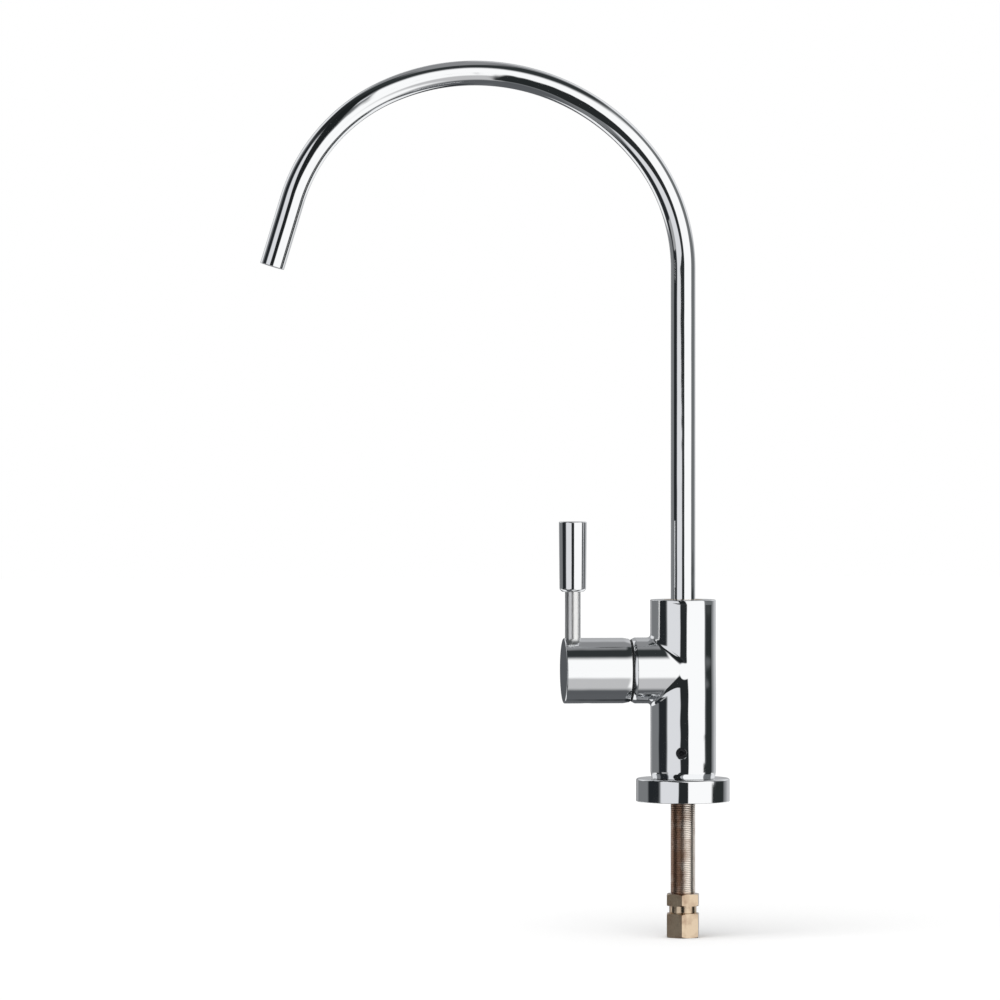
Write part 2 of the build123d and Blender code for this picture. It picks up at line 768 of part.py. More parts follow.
nodes = {
    "body_casting": body_casting,
    "base_flange": base_flange,
    "base_gasket": base_gasket,
    "threaded_shank": threaded_shank,
    "shank_o_ring": shank_o_ring,
    "shank_grub_screw": shank_grub_screw,
    "inlet_connector": inlet_connector,
    "compression_nut": compression_nut,
    "ferrule": ferrule,
    "cartridge_housing": cartridge_housing,
    "housing_o_ring": housing_o_ring,
    "seat_seal": seat_seal,
    "fixed_disc": fixed_disc,
    "moving_disc": moving_disc,
    "thrust_washer": thrust_washer,
    "spindle": spindle,
    "spindle_o_rings": spindle_o_rings,
    "stop_ring": stop_ring,
    "spindle_clip": spindle_clip,
    "seam_ring": seam_ring,
    "handle_cap": handle_cap,
    "handle_grub_screw": handle_grub_screw,
    "lever_stem": lever_stem,
    "lever_grip": lever_grip,
    "spout_glide_ring": spout_glide_ring,
    "spout_bush": spout_bush,
    "spout_o_ring_lower": spout_o_ring_lower,
    "spout_o_ring_upper": spout_o_ring_upper,
    "spout_grub_screw": spout_grub_screw,
    "spout_tube": spout_tube,
}

os.makedirs("parts", exist_ok=True)
for name, node in nodes.items():
    node.part.label = name
    export_step(node.part, f"parts/{name}.step")
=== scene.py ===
# %% [markdown]
# # A swan-neck drinking-water tap in polished chrome
#
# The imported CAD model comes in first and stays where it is. Every new piece is measured from it,
# so it lands in the right place and can follow the same joints. The spout swivels on the body, and
# the handle makes a quarter turn round the valve.

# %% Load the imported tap
import json
from math import cos, pi, radians, sin

import bmesh
import bpy
from mathutils import Matrix, Vector


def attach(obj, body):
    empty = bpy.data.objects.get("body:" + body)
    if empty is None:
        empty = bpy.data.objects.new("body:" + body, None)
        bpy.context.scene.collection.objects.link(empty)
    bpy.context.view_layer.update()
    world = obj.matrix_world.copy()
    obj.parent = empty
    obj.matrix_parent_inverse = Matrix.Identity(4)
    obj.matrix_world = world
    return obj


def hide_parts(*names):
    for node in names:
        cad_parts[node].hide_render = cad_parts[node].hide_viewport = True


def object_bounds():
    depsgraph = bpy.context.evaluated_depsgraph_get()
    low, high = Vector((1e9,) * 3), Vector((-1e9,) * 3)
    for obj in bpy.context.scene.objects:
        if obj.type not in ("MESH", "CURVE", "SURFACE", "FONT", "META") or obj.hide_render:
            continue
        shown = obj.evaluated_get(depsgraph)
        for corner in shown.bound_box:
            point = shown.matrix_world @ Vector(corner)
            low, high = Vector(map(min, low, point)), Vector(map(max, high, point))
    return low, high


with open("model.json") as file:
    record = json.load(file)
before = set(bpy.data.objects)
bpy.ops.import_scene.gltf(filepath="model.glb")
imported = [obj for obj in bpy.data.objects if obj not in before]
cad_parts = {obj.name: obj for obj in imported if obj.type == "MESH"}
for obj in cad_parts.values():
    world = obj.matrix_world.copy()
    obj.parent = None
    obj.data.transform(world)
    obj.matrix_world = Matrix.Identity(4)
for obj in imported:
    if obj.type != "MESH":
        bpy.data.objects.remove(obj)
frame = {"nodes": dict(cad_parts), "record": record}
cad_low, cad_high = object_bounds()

MM = 0.001
print("CAD box in mm:", [round(v / MM, 1) for v in (*cad_low, *cad_high)])

# %% [markdown]
# ## Camera
#
# The photograph looks almost straight at the side of the tap, a few degrees towards the handle's
# end face, and its lines hardly converge. A long lens from far away gives that. The picture is
# 405 mm wide at the tap, which fixes the lens once the distance is chosen.

# %% Camera
CAMERA_AZIMUTH = -6.0
CAMERA_ELEVATION = 0.6
CAMERA_DISTANCE = 2300.0
PICTURE_WIDTH = 405.0
PICTURE_CENTRE = (-74.8, 0.0, 122.5)
SENSOR = 36.0
FARTHEST_SEEN = 50  # in metres

azimuth, elevation = radians(CAMERA_AZIMUTH), radians(CAMERA_ELEVATION)
towards_camera = Vector((sin(azimuth) * cos(elevation), -cos(azimuth) * cos(elevation),
                         sin(elevation)))
camera = bpy.data.objects.new("camera", bpy.data.cameras.new("camera"))
bpy.context.collection.objects.link(camera)
camera.data.sensor_width = SENSOR
camera.data.lens = SENSOR * CAMERA_DISTANCE / PICTURE_WIDTH
camera.data.clip_end = FARTHEST_SEEN
camera.location = (Vector(PICTURE_CENTRE) + towards_camera * CAMERA_DISTANCE) * MM
camera.rotation_euler = (-towards_camera).to_track_quat("-Z", "Y").to_euler()
bpy.context.scene.camera = camera
bpy.context.scene.view_settings.view_transform = "Standard"
print("lens", round(camera.data.lens), "mm")

# %% [markdown]
# ## Nodes and colours
#
# A colour is written as the hex value that a colour picker shows, and one function turns it into
# the linear numbers that the renderer works with. Another adds a node with its settings and its
# links, so that each material below reads as a short list.

# %% Helpers for colours and nodes
def linear(hex_colour):
    """An sRGB colour such as "#D8DADB" as linear red, green, blue and alpha."""
    channels = [int(hex_colour[i:i + 2], 16) / 255 for i in (1, 3, 5)]
    return (*[c / 12.92 if c <= 0.04045 else ((c + 0.055) / 1.055) ** 2.4 for c in channels], 1.0)


def add(tree, kind, settings=None, links=None):
    """A new node. Settings are attributes or sockets. A link comes from a socket or a node."""
    node = tree.nodes.new("ShaderNode" + kind)
    for key, value in (settings or {}).items():
        if isinstance(key, str) and hasattr(node, key):
            setattr(node, key, value)
        else:
            node.inputs[key].default_value = value
    for key, source in (links or {}).items():
        tree.links.new(getattr(source, "outputs", [source])[0], node.inputs[key])
    return node


# %% [markdown]
# ## Studio
#
# Polished chrome has no colour of its own: what it shows is the room. A photographer puts large
# white panels beside it and leaves dark gaps between them, and those become the long light and
# dark bands. Panels built round the tap would do, but they would show in other views and cast
# shadows. So the world plays the room: each direction gets an azimuth from the camera's own
# direction, positive to the right, and an elevation above the horizon, both in degrees.

# %% World: directions
world = bpy.data.worlds.new("studio")
bpy.context.scene.world = world
world.use_nodes = True
world.cycles.sampling_method = "NONE"
room = world.node_tree
room.nodes.clear()

direction = add(room, "TexCoord").outputs["Generated"]
turned_direction = add(room, "VectorRotate", {"rotation_type": "Z_AXIS", "Angle": -azimuth},
                       {"Vector": direction})
parts = add(room, "SeparateXYZ", links={0: turned_direction}).outputs
towards = add(room, "Math", {"operation": "MULTIPLY", 1: -1.0}, {0: parts[1]})
azimuth_angle = add(room, "Math", {"operation": "ARCTAN2"}, {0: parts[0], 1: towards})
elevation_angle = add(room, "Math", {"operation": "ARCSINE"}, {0: parts[2]})
round_camera = add(room, "Math", {"operation": "DEGREES"}, {0: azimuth_angle})
above_horizon = add(room, "Math", {"operation": "DEGREES"}, {0: elevation_angle})

# %% [markdown]
# A panel or a dark flag is laid over what is painted already. It has a left and a right edge,
# which may lean, a low and a high end, and soft borders, because a real panel is out of focus in a
# curved mirror. Each border is a mask that rises or falls as the angle passes it, and the product
# of the four is the panel's shape.

# %% World: how a panel is painted
def panel(below, colour, left, right, low, high, soft=3, soft_ends=6):
    """A panel over what is below it. Left and right are an azimuth and a lean by elevation."""
    borders = []
    for (edge, lean), rise in ((left, soft), (right, -soft)):
        upright = add(room, "Math", {"operation": "MULTIPLY_ADD", 1: -lean},
                      {0: above_horizon, 2: round_camera})
        borders.append((upright, edge, rise))
    borders += [(above_horizon, low, soft_ends), (above_horizon, high, -soft_ends)]
    mask = None
    for angle, edge, rise in borders:  # a negative rise swaps the ends, and the mask falls
        inside = add(room, "MapRange", {"interpolation_type": "SMOOTHSTEP", "From Min": edge - rise,
                                        "From Max": edge + rise}, {"Value": angle})
        if mask:
            inside = add(room, "Math", {"operation": "MULTIPLY"}, {0: mask, 1: inside})
        mask = inside
    return add(room, "Mix", {"data_type": "RGBA", 7: linear(colour)},
               {0: mask, 6: below}).outputs[2]


# %% [markdown]
# **The far side of the room** shows near the outlines, and in views from behind. It has grey walls
# and a dark lower part, with two pale panels below the horizon and two above it. Each line gives a
# colour, the two edges, the low and the high end, and how soft the sides and the ends are.

# %% World: far side and ceiling
ALL_ROUND = (-181, 0), (181, 0)
walls = add(room, "RGB").outputs[0]
walls.default_value = linear("#77797B")
for look in (
    ("#A6A7A9", (-181, 0), (-148, 0), -12, 45, 6, 10),
    ("#C4C5C7", (134, 0), (181, 0), -12, 60, 16, 8),
    ("#585A5D", *ALL_ROUND, -91, -68, 3, 6),
    ("#5A5C5F", (-181, 0), (-100, 0), -91, -18, 6, 8),
    ("#5A5C5F", (100, 0), (181, 0), -91, -18, 6, 8),
    ("#F2F3F4", (-150, 0), (-112, 0), -58, -10, 3, 3),
    ("#F2F3F4", (112, 0), (162, 0), -58, -10, 3, 3),
    ("#232628", (-112, 0), (-98, 0), -58, -10, 2, 3),
    ("#232628", (162, 0), (174, 0), -58, -10, 2, 3),
    ("#E4E5E7", (-154, 0), (-118, 0), 9, 46, 3, 3),
    ("#E4E5E7", (120, 0), (160, 0), 9, 46, 3, 3),
    ("#898A8C", *ALL_ROUND, 54, 91, 3, 8),
    ("#303435", (-125, 0), (125, 0), 50, 78, 12, 5),
):
    walls = panel(walls, *look)

# %% [markdown]
# **The camera's side** makes the bands that one knows chrome by. A pale panel stands on the left
# and a bright one on the right, which has a grey foot and three white parts. The dark gap between
# them, where the camera stands, becomes the dark stripe down the middle of every upright piece.

# %% World: the two panels and the gap
for look in (
    ("#DDDEE1", (-59, 0), (-11, 0), -42, 40, 3, 5),
    ("#262829", (-120, 0), (-10, -0.25), 40, 62, 6, 6),
    ("#BFBFC0", (4, 0), (82, 0), -66, -12, 4, 8),
    ("#FFFFFF", (10, 0), (80, 0), -24, 5, 1.5, 6),
    ("#FFFFFF", (32, 0), (80, 0), -58, -20, 8, 6),
    ("#FFFFFF", (11, -0.55), (80, 0), -3, 44, 2, 8),
    ("#1E2122", (-11, -0.9), (10, -0.7), 0, 60, 1.5, 3),
    ("#26292A", (-11, 0.5), (10.5, 0), -62, 1, 1.5, 3),
):
    walls = panel(walls, *look)

# %% [markdown]
# **Slices by height.** The camera looks at each height under another angle, so an upright piece
# shows one thin slice of the room: the tube the one round the horizon, the body the next one down,
# and the flange and the fittings lower ones. The photograph's panels stood near the tap and look
# different from each piece. Flags that end between two slices give that.

# %% World: flags at the sides, cut by height
for look in (
    ("#55575A", (-176, 0), (-161, 0), -12, 8, 1, 2),  # seen in the cap's end face
    ("#2A2D2E", (-16, -7), (10, -2), 0.2, 3.4, 2, 0.4),  # a wider gap for the top of the tube
    ("#24272A", (-98, 0), (-63, 0), -50, 44, 4),  # left of the pale panel, for all pieces
    ("#9C9D9E", (-84, 0), (-56, 0), -16, -4.75, 3, 0.25),  # but greyer for the fittings
    ("#2A2E2E", (85, 0), (118, 0), -50, -1.2, 4, 0.4),  # right of the bright panel, for the body
    ("#2A2E2E", (74, 0), (113, 0), -8, -3.4, 4, 0.1),  # and wider for the flange and below
    ("#6C6F70", (88, 0), (122, 0), -1.2, 50, 5, 0.4),  # but grey for the tube and the grip
):
    walls = panel(walls, *look)

# %% [markdown]
# A ray that comes off metal meets this painted room. To the camera the world is plain white, and
# everything matt gets a plain soft light from it.

# %% World: what each ray meets
MATT_LIGHT = "#CBCBCB"
rays = add(room, "LightPath").outputs
matt_or_metal = add(room, "Mix", {"data_type": "RGBA", 6: linear(MATT_LIGHT)},
                    {0: rays["Is Glossy Ray"], 7: walls}).outputs[2]
seen = add(room, "Mix", {"data_type": "RGBA", 7: linear("#FFFFFF")},
           {0: rays["Is Camera Ray"], 6: matt_or_metal}).outputs[2]
background = add(room, "Background", {"Strength": 1.0}, {"Color": seen})
add(room, "OutputWorld", links={"Surface": background})
print(len(room.nodes), "nodes in the room")

# %% [markdown]
# ## Floor and lamp
#
# The tap rests on a plain white floor, level with the nut at its foot. The photograph shows no
# floor in the chrome, so metal looks past it to the room. From below the floor is clear, so that a
# low view still shows the underside.

# %% Floor
FLOOR_SIZE = 6.0
FLOOR_GAP = 0.1
bm = bmesh.new()
bmesh.ops.create_grid(bm, x_segments=1, y_segments=1, size=FLOOR_SIZE)
bmesh.ops.translate(bm, verts=bm.verts, vec=(0, 0, cad_low.z - FLOOR_GAP * MM))
floor = bpy.data.objects.new("floor", bpy.data.meshes.new("floor"))
bm.to_mesh(floor.data)
bm.free()
bpy.context.collection.objects.link(floor)
floor.visible_glossy = False

paper = bpy.data.materials.new("white_paper")
paper.use_nodes = True
tree = paper.node_tree
tree.nodes.clear()
matt_white = add(tree, "BsdfDiffuse", {"Color": linear("#FFFFFF")})
clear = add(tree, "BsdfTransparent")
from_below = add(tree, "NewGeometry").outputs["Backfacing"]
one_sided = add(tree, "MixShader", links={0: from_below, 1: matt_white, 2: clear})
add(tree, "OutputMaterial", links={"Surface": one_sided})
floor.data.materials.append(paper)

# %% [markdown]
# One broad sun lamp, high in front and a little to the left, adds a soft direction to the room's
# light. It is left out of the metal, where a lamp would show as a disc.

# %% Lamp
SUN_STRENGTH, SUN_WIDTH, SUN_TILT = 1.7, 60, (28, -22, 0)
lamp = bpy.data.objects.new("soft_sun", bpy.data.lights.new("soft_sun", "SUN"))
bpy.context.collection.objects.link(lamp)
lamp.data.energy = SUN_STRENGTH
lamp.data.angle = radians(SUN_WIDTH)
lamp.rotation_euler = [radians(angle) for angle in SUN_TILT]
lamp.visible_glossy = False

# %% [markdown]
# ## Materials
#
# Each finish starts from what it is on the real tap and how its surface was made. The patterns are
# measured in real millimetres from the object's own coordinates, so they stay on the piece as it
# moves. Most of them start as noise, whose spots are given their real size and stretched along the
# axes. Its values mostly lie between 0.3 and 0.7, and are spread out from there.

# %% Helpers for materials
FROM_NOISE = {"From Min": 0.3, "From Max": 0.7}


def new_material(name, colour, metallic, roughness):
    """A material with one surface shader, and the object's own coordinates for its patterns."""
    material = bpy.data.materials.new(name)
    material.use_nodes = True
    tree = material.node_tree
    tree.nodes.clear()
    shader = add(tree, "BsdfPrincipled", {"Base Color": linear(colour), "Metallic": metallic,
                                          "Roughness": roughness})
    add(tree, "OutputMaterial", links={"Surface": shader})
    return material, tree, shader, add(tree, "TexCoord").outputs["Object"]


def spots(size, stretch=(1, 1, 1)):
    """The settings that make noise spots about size mm across, stretched along the axes."""
    return {"Scale": [1 / (size * MM * s) for s in stretch]}


def use(tree, shader, **patterns):
    """Lets patterns drive the shader's sockets of those names."""
    for socket, node in patterns.items():
        tree.links.new(node.outputs[0], shader.inputs[socket])


# %% [markdown]
# **Polished chrome plate.** Chromium a third of a micrometre thick over bright nickel, on brass
# that was polished by hand. The eye gets a mirror that is faintly uneven: long, shallow waves left
# by the polishing wheel bend the reflections a little, and handling leaves parts less sharp.

# %% Chrome plate
chrome, tree, shader, place = new_material("polished_chrome_plate", "#F9FAFB", 1.0, 0.03)
smeared = add(tree, "Mapping", spots(14, (1, 1, 2.5)), {"Vector": place})
smears = add(tree, "TexNoise", {"Scale": 1.0, "Detail": 4.0}, {"Vector": smeared})
dulled = add(tree, "MapRange", FROM_NOISE | {"To Min": 0.02, "To Max": 0.06}, {"Value": smears})
wheel_marks = add(tree, "Mapping", spots(11, (1, 1, 1.6)), {"Vector": place})
waves = add(tree, "TexNoise", {"Scale": 1.0, "Detail": 1.0}, {"Vector": wheel_marks})
relief = add(tree, "Bump", {"Strength": 1.0, "Distance": 0.1 * MM}, {"Height": waves})
use(tree, shader, Roughness=dulled, Normal=relief)

# %% [markdown]
# **Satin chrome rod.** The lever's stem is drawn rod that goes to plating without a mirror polish.
# The drawing lines run along it and spread the reflections, so it looks softer and lighter than the
# rest. The real lines are a few hundredths of a millimetre wide, and are drawn coarser here.

# %% Satin chrome
satin_chrome, tree, shader, place = new_material("satin_chrome_drawn_rod", "#F1F1F0", 1.0, 0.3)
streaks = add(tree, "Mapping", spots(3, (1, 1, 3)), {"Vector": place})
streaks = add(tree, "TexNoise", {"Scale": 1.0, "Detail": 3.0}, {"Vector": streaks})
dulled = add(tree, "MapRange", FROM_NOISE | {"To Min": 0.26, "To Max": 0.36}, {"Value": streaks})
drawing_lines = add(tree, "Mapping", spots(0.15, (1, 1, 60)), {"Vector": place})
drawing_lines = add(tree, "TexNoise", {"Scale": 1.0, "Detail": 2.0}, {"Vector": drawing_lines})
relief = add(tree, "Bump", {"Strength": 1.0, "Distance": 0.002 * MM}, {"Height": drawing_lines})
use(tree, shader, Roughness=dulled, Normal=relief)

# %% [markdown]
# ** Nickel-plated brass.** The shank and the fittings below the worktop are turned from brass bar
# and only flashed with nickel, so they are warm, and satin rather than bright. Where damp has
# reached the shank, the nickel has gone dull and brown in patches. The same dull brown is painted
# shade in the thread's roots and all down the shank's left side. The hexagons get less of that
# painted shade and are tan. Fine turning lines run round the bar, drawn coarser than the tool
# leaves them, so that they show.

# %% Nickel-plated brass: painted shade on the left side and in the roots, and dull patches
SHANK_RADIUS, SHANK_FOOT = 5.0, -37.6
# Painted shade darkens the shank's left side: fully up to x = -2.2 mm, not at all from x = 1 mm.
SHADE_TO, LIT_FROM = -2.2, 1.0
turned_nickel, tree, shader, place = new_material("nickel_plated_turned_brass", "#DCCDB8", 1.0,
                                                  0.22)
parts = add(tree, "SeparateXYZ", links={0: place}).outputs
across = add(tree, "CombineXYZ", links={0: parts[0], 1: parts[1]})
from_axis = add(tree, "VectorMath", {"operation": "LENGTH"}, {0: across}).outputs["Value"]
crest = add(tree, "MapRange", {"From Min": (SHANK_RADIUS - 0.2) * MM,
                               "From Max": SHANK_RADIUS * MM}, {"Value": from_axis})
# Painted shade: 1 on the lit right side, falling to 0 towards the left side.
lit_side = add(tree, "MapRange", {"From Min": SHADE_TO * MM, "From Max": LIT_FROM * MM},
                  {"Value": parts[0]})
fitting = add(tree, "MapRange", {"From Min": (SHANK_FOOT + 0.1) * MM,
                                 "From Max": (SHANK_FOOT - 0.1) * MM}, {"Value": parts[2]})
# The hexagons keep at least 0.7 of the light, so they get less of the painted shade.
less_shade_on_fittings = add(tree, "Math", {"operation": "MULTIPLY", 1: 0.7}, {0: fitting})
lit_side = add(tree, "Math", {"operation": "MAXIMUM"}, {0: lit_side, 1: less_shade_on_fittings})
patches = add(tree, "Mapping", spots(6), {"Vector": place})
patches = add(tree, "TexNoise", {"Scale": 1.0, "Detail": 5.0}, {"Vector": patches})
patches = add(tree, "MapRange", FROM_NOISE | {"To Min": -0.5, "To Max": 0.5}, {"Value": patches})
# Painted shade and dull patches together: 0 where the nickel is painted dull brown.
lit_and_clean = add(tree, "Math", {"operation": "ADD", "use_clamp": True}, {0: lit_side, 1: patches})
# Painted shade darkens the thread's roots: the mask drops to 0.45 there.
root_shade = add(tree, "MapRange", {"To Min": 0.45, "To Max": 1.0}, {"Value": crest})
lit_and_clean = add(tree, "Math", {"operation": "MULTIPLY"}, {0: lit_and_clean, 1: root_shade})

# %% Nickel-plated brass: colour, gloss and turning lines
fresh = add(tree, "Mix", {"data_type": "RGBA", 6: linear("#F7EEE3"), 7: linear("#E2CCB0")},
            {0: fitting}).outputs[2]
# The dull brown stands for painted shade on the left side and in the thread's roots, and for the dull
# patches.
tint = add(tree, "Mix", {"data_type": "RGBA", 6: linear("#A2806A")},
           {0: lit_and_clean, 7: fresh}).outputs[2]
tree.links.new(tint, shader.inputs["Base Color"])
dulled = add(tree, "MapRange", {"To Min": 0.34, "To Max": 0.17}, {"Value": lit_and_clean})
tool_lines = add(tree, "Mapping", spots(0.12, (40, 40, 1)), {"Vector": place})
tool_lines = add(tree, "TexNoise", {"Scale": 1.0, "Detail": 2.0}, {"Vector": tool_lines})
relief = add(tree, "Bump", {"Strength": 1.0, "Distance": 0.003 * MM}, {"Height": tool_lines})
use(tree, shader, Roughness=dulled, Normal=relief)

# %% [markdown]
# **Turned brass.** Bare yellow brass inside the valve: clean machined metal, with a slight tarnish
# and fine lines round the valve's axis, on which it was turned. These too are drawn coarser.

# %% Turned brass
brass, tree, shader, place = new_material("turned_brass", "#C8A566", 1.0, 0.24)
tarnish = add(tree, "Mapping", spots(4), {"Vector": place})
tarnish = add(tree, "TexNoise", {"Scale": 1.0, "Detail": 4.0}, {"Vector": tarnish})
tarnish = add(tree, "MapRange", FROM_NOISE | {"To Min": 0.0, "To Max": 1.0}, {"Value": tarnish})
tint = add(tree, "Mix", {"data_type": "RGBA", 6: linear("#B08A4A"), 7: linear("#D9BA7C")},
           {0: tarnish}).outputs[2]
tree.links.new(tint, shader.inputs["Base Color"])
dulled = add(tree, "MapRange", {"To Min": 0.32, "To Max": 0.18}, {"Value": tarnish})
tool_lines = add(tree, "Mapping", spots(0.12, (1, 40, 40)), {"Vector": place})
tool_lines = add(tree, "TexNoise", {"Scale": 1.0, "Detail": 2.0}, {"Vector": tool_lines})
relief = add(tree, "Bump", {"Strength": 1.0, "Distance": 0.003 * MM}, {"Height": tool_lines})
use(tree, shader, Roughness=dulled, Normal=relief)

# %% [markdown]
# **Blackened steel.** Grub screws are hardened steel with a black oxide skin, kept under oil. They
# look nearly black with a dull gloss, and greyer where the skin is thin.

# %% Blackened steel
black_steel, tree, shader, place = new_material("black_oxide_steel", "#3C3D3F", 1.0, 0.4)
worn = add(tree, "Mapping", spots(0.8), {"Vector": place})
worn = add(tree, "TexNoise", {"Scale": 1.0, "Detail": 4.0}, {"Vector": worn})
worn = add(tree, "MapRange", FROM_NOISE | {"To Min": 0.0, "To Max": 1.0}, {"Value": worn})
tint = add(tree, "Mix", {"data_type": "RGBA", 6: linear("#2C2C2E"), 7: linear("#545558")},
           {0: worn}).outputs[2]
tree.links.new(tint, shader.inputs["Base Color"])
dulled = add(tree, "MapRange", {"To Min": 0.5, "To Max": 0.34}, {"Value": worn})
use(tree, shader, Roughness=dulled)

# %% [markdown]
# **Spring steel.** The clip is stamped from stainless strip and tumbled, which leaves it grey,
# satin and slightly mottled.

# %% Spring steel
spring_steel, tree, shader, place = new_material("tumbled_stainless_strip", "#B9B9BB", 1.0, 0.3)
mottle = add(tree, "Mapping", spots(0.6), {"Vector": place})
mottle = add(tree, "TexNoise", {"Scale": 1.0, "Detail": 3.0}, {"Vector": mottle})
dulled = add(tree, "MapRange", FROM_NOISE | {"To Min": 0.24, "To Max": 0.4}, {"Value": mottle})
relief = add(tree, "Bump", {"Strength": 1.0, "Distance": 0.004 * MM}, {"Height": mottle})
use(tree, shader, Roughness=dulled, Normal=relief)

# %% [markdown]
# **Moulded rubber.** The seals and the gasket are black nitrile rubber. Carbon black makes it deep
# grey to black, and the mould's blasted surface makes it matt. A pale bloom comes up in patches.

# %% Black rubber
rubber, tree, shader, place = new_material("moulded_nitrile_rubber", "#1C1C1C", 0.0, 0.75)
bloom = add(tree, "Mapping", spots(3), {"Vector": place})
bloom = add(tree, "TexNoise", {"Scale": 1.0, "Detail": 4.0}, {"Vector": bloom})
bloom = add(tree, "MapRange", FROM_NOISE | {"To Min": 0.0, "To Max": 1.0}, {"Value": bloom})
tint = add(tree, "Mix", {"data_type": "RGBA", 6: linear("#151515"), 7: linear("#262626")},
           {0: bloom}).outputs[2]
tree.links.new(tint, shader.inputs["Base Color"])
blasted = add(tree, "Mapping", spots(0.15), {"Vector": place})
blasted = add(tree, "TexNoise", {"Scale": 1.0, "Detail": 2.0}, {"Vector": blasted})
relief = add(tree, "Bump", {"Strength": 1.0, "Distance": 0.01 * MM}, {"Height": blasted})
use(tree, shader, Normal=relief)

# %% [markdown]
# **Moulded acetal.** The seam ring and the washers are black acetal, a slippery engineering
# plastic. It comes from the mould dense and smooth, with a soft, slightly cloudy gloss.

# %% Black acetal
acetal, tree, shader, place = new_material("moulded_black_acetal", "#151617", 0.0, 0.38)
shader.inputs["IOR"].default_value = 1.48
cloud = add(tree, "Mapping", spots(2), {"Vector": place})
cloud = add(tree, "TexNoise", {"Scale": 1.0, "Detail": 3.0}, {"Vector": cloud})
dulled = add(tree, "MapRange", FROM_NOISE | {"To Min": 0.32, "To Max": 0.46}, {"Value": cloud})
skin = add(tree, "Mapping", spots(0.3), {"Vector": place})
skin = add(tree, "TexNoise", {"Scale": 1.0, "Detail": 2.0}, {"Vector": skin})
relief = add(tree, "Bump", {"Strength": 1.0, "Distance": 0.003 * MM}, {"Height": skin})
use(tree, shader, Roughness=dulled, Normal=relief)

# %% [markdown]
# **Lapped ceramic.** The valve's discs are sintered alumina, an off-white ceramic. Lapping makes
# their faces flat to a fraction of a micrometre, so they are smooth with a soft sheen.

# %% Alumina ceramic
ceramic, tree, shader, place = new_material("lapped_alumina_ceramic", "#EAE7DE", 0.0, 0.3)
shader.inputs["IOR"].default_value = 1.76
grain = add(tree, "Mapping", spots(0.5), {"Vector": place})
grain = add(tree, "TexNoise", {"Scale": 1.0, "Detail": 5.0}, {"Vector": grain})
grain = add(tree, "MapRange", FROM_NOISE | {"To Min": 0.0, "To Max": 1.0}, {"Value": grain})
tint = add(tree, "Mix", {"data_type": "RGBA", 6: linear("#E3DFD4"), 7: linear("#F1EEE7")},
           {0: grain}).outputs[2]
tree.links.new(tint, shader.inputs["Base Color"])
dulled = add(tree, "MapRange", {"To Min": 0.24, "To Max": 0.36}, {"Value": grain})
use(tree, shader, Roughness=dulled)

# %% [markdown]
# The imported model's own nodes take their finish by the record's slot. The grub screws are named one
# by one, because they share their slot with the clip.

# %% Finishes for the CAD nodes
finishes = {"chrome_plate": chrome, "nickel_brass": turned_nickel, "brass": brass,
            "black_rubber": rubber, "ceramic": ceramic, "black_acetal": acetal,
            "steel": spring_steel}
for entry in frame["record"]["subparts"]:
    name = entry["node"]
    materials = frame["nodes"][name].data.materials
    materials.clear()
    materials.append(black_steel if "grub_screw" in name else finishes[entry["material_slot"]])
print(len(finishes) + 1, "finishes on", len(frame["nodes"]), "nodes")

# %% [markdown]
# ## Tools for shapes
#
# Nearly every piece of a tap is turned on a lathe, so one helper turns a profile round an axis, as
# the bar turns against the tool. The profile is in millimetres, from the worktop or from the
# valve's centre. A second helper takes the sharpness off the edges: a real edge is always a little
# round, and in chrome that thin round is what catches the light.

# %% Helper: turning
UP = Vector((0, 0, 1))
TOWARDS_HANDLE = Vector((-1, 0, 0))
VALVE_HEIGHT = 53.2
VALVE = UP * VALVE_HEIGHT
MERGE = 0.001


def turned(profile, origin=Vector(), along=UP, steps=128):
    """A turned solid. The profile lists (distance along the axis, radius) in millimetres."""
    bm = bmesh.new()
    outward = along.orthogonal().normalized()
    line = [bm.verts.new((origin + along * reach + outward * radius) * MM)
            for reach, radius in profile]
    sides = zip(zip(line, line[1:] + line[:1]), zip(profile, profile[1:] + profile[:1]))
    for (first, second), ((_, radius), (_, next_radius)) in sides:
        if radius > 0 or next_radius > 0:
            bm.edges.new((first, second))
    bmesh.ops.spin(bm, geom=bm.verts[:] + bm.edges[:], cent=origin * MM, axis=along, angle=2 * pi,
                   steps=steps, use_merge=True)
    bmesh.ops.remove_doubles(bm, verts=bm.verts, dist=MERGE * MM)
    bmesh.ops.recalc_face_normals(bm, faces=bm.faces)
    return bm


# %% Helper: rounding the edges
def soften(bm, width, segments=3, corner=20, where=lambda middle: True):
    """Rounds edges that turn by more than so many degrees, picked by their middle in mm."""
    sharp = [edge for edge in bm.edges if len(edge.link_faces) == 2
             and edge.calc_face_angle() > radians(corner)
             and where((edge.verts[0].co + edge.verts[1].co) / 2 / MM)]
    bmesh.ops.bevel(bm, geom=sharp, offset=width * MM, segments=segments, profile=0.5,
                    affect="EDGES", clamp_overlap=True, material=-1)


# %% [markdown]
# A third helper cuts or joins two closed meshes, as a drill or a braze does. The last one makes a
# smooth object of a mesh, hides the CAD nodes that it stands for, and lets it ride on its body, so
# that it moves as they do.

# %% Helpers: cutting, and handing over a piece
FACE_WEIGHT = 80


def combine(bm, tool, operation="DIFFERENCE"):
    """Cuts, joins or crosses two closed meshes, and gives the result as a new one."""
    stocks = []
    for source in (bm, tool):
        stocks.append(bpy.data.objects.new("stock", bpy.data.meshes.new("stock")))
        source.to_mesh(stocks[-1].data)
        source.free()
        bpy.context.collection.objects.link(stocks[-1])
    cut = stocks[0].modifiers.new("cut", "BOOLEAN")
    cut.operation, cut.solver, cut.object = operation, "EXACT", stocks[1]
    result = bmesh.new()
    result.from_object(stocks[0], bpy.context.evaluated_depsgraph_get())
    for stock in stocks:
        bpy.data.meshes.remove(stock.data)
    return result


